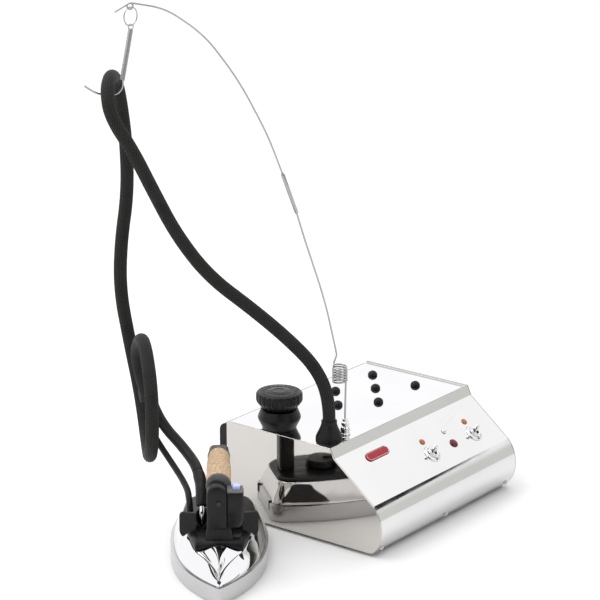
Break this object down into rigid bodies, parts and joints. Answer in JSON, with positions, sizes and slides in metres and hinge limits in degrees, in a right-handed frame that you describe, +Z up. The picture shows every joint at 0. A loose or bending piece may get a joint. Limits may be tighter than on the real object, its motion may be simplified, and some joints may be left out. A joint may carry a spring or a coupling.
{
  "type": "steam generator iron",
  "caption": "Boiler housing with filler cap, sprung hose whip, toggles and lamps, joined by a sleeved steam hose to a hand iron with a cork grip that stands beside it.",
  "frame": {"origin": "on the table under the middle of the rigid pieces (hoses and cable left out)", "axes": "+Z up; +X to the right along the housing's front, +Y towards its rear cover"},
  "size_m": [0.4542, 0.286, 0.5831],
  "materials": {
    "polished_steel": "polished sheet, near-white mirror",
    "mirror_steel": "polished sheet, near-white mirror",
    "side_steel": "polished sheet, warm grey mirror",
    "zinc_steel": "zinc plated",
    "black_plastic": "fine texture",
    "screw_steel": "domed heads",
    "black_steel": "blackened",
    "black_rubber": "matt",
    "boiler_steel": "satin",
    "element_steel": "oxidised",
    "brass": "machined",
    "copper": "drawn copper pipe",
    "chrome": "polished",
    "amber_lens": "translucent lens; the middle one is clear",
    "red_lens": "translucent lens",
    "red_enamel": "gloss enamel, blank",
    "spring_steel": "drawn wire",
    "black_fabric": "braided sleeve with a lighter seam",
    "dark_rubber": "satin",
    "grey_plastic": "satin",
    "aluminium": "cast, polished edge",
    "button_plastic": "pale blue-white",
    "cork": "pressed cork",
    "ceramic": "ceramic body"
  },
  "bodies": {
    "housing": {"front_casing": "polished_steel", "top_tray": "mirror_steel", "left_side_panel": "side_steel", "right_side_panel": "side_steel", "bottom_plate": "zinc_steel", "rear_cover": "black_plastic", "mains_gland": "black_plastic", "case_screws": "screw_steel", "rubber_feet": "black_rubber", "rest_pads": "black_rubber", "boiler_shell": "boiler_steel", "boiler_brackets": "zinc_steel", "heating_element": "element_steel", "pressure_switch": "black_plastic", "safety_thermostat": "black_plastic", "filler_neck": "brass", "solenoid_valve": "brass", "steam_pipe": "copper", "toggle_switches": "black_plastic", "toggle_nuts": "chrome", "pilot_lamps": "amber_lens", "red_lamp": "red_lens", "badge_plate": "red_enamel", "filler_collar": "black_plastic", "hose_boot": "black_rubber", "antenna_socket": "chrome", "antenna_spring": "spring_steel", "main_hose": "black_fabric", "split_boot": "black_rubber", "steam_lead": "dark_rubber", "iron_cable": "dark_rubber"},
    "cap_plug": {"cap_core": "brass", "cap_gasket": "black_rubber"},
    "cap_knob": {"cap_shell": "black_plastic"},
    "left_toggle": {"left_toggle_lever": "chrome"},
    "right_toggle": {"right_toggle_lever": "chrome"},
    "antenna": {"antenna_whip": "spring_steel", "whip_ferrule": "grey_plastic", "whip_tip": "spring_steel", "hook_ring": "spring_steel", "hook_spring": "spring_steel", "hose_hook": "spring_steel"},
    "iron": {"soleplate": "aluminium", "sole_heater": "element_steel", "iron_cover": "chrome", "heat_shield": "black_plastic", "front_post": "black_plastic", "rear_post": "black_plastic", "switch_housing": "black_plastic", "button_bracket": "grey_plastic", "grip": "cork", "grip_ferrules": "grey_plastic", "handle_rod": "zinc_steel", "iron_thermostat": "ceramic", "steam_inlet": "chrome", "lead_sleeve": "black_rubber", "cable_grommet": "black_rubber", "iron_screws": "black_steel"},
    "button": {"steam_button": "button_plastic"},
    "dial": {"thermostat_dial": "black_plastic"}
  },
  "joints": [
    {"name": "cap_lift", "type": "slide", "parent": "housing", "child": "cap_plug", "axis": [0, 0, 1], "range_m": [0, 0.006]},
    {"name": "cap_turn", "type": "hinge", "parent": "cap_plug", "child": "cap_knob", "pos_m": [-0.0092, 0.02055, 0.1077], "axis": [0, 0, 1], "range_deg": [0, 720]},
    {"name": "left_toggle", "type": "hinge", "parent": "housing", "child": "left_toggle", "pos_m": [0.1016, -0.10439, 0.07282], "axis": [1, 0, 0], "range_deg": [0, 28]},
    {"name": "right_toggle", "type": "hinge", "parent": "housing", "child": "right_toggle", "pos_m": [0.1831, -0.10439, 0.07282], "axis": [1, 0, 0], "range_deg": [0, 28]},
    {"name": "antenna_sway", "type": "hinge", "parent": "housing", "child": "antenna", "pos_m": [0.01209, -0.0444, 0.1762], "axis": [0.6691, 0.7431, 0], "range_deg": [-4, 10], "stiffness_Nm_per_rad": 12, "deforming": ["antenna_spring", "main_hose"]},
    {"name": "iron_lift", "type": "slide", "parent": "housing", "child": "iron", "axis": [0, 0, 1], "range_m": [0, 0.03], "deforming": ["steam_lead", "iron_cable"]},
    {"name": "steam_button_press", "type": "slide", "parent": "iron", "child": "button", "axis": [0, 0, -1], "range_m": [0, 0.0025], "stiffness_N_per_m": 400},
    {"name": "thermostat_dial_turn", "type": "hinge", "parent": "iron", "child": "dial", "pos_m": [-0.12188, 0.01298, 0.0461], "axis": [0, 0, 1], "range_deg": [0, 270]}
  ],
  "couplings": [
    {"joint": "cap_turn", "follows": "cap_lift", "rad_per_m": 2094.4}
  ]
}
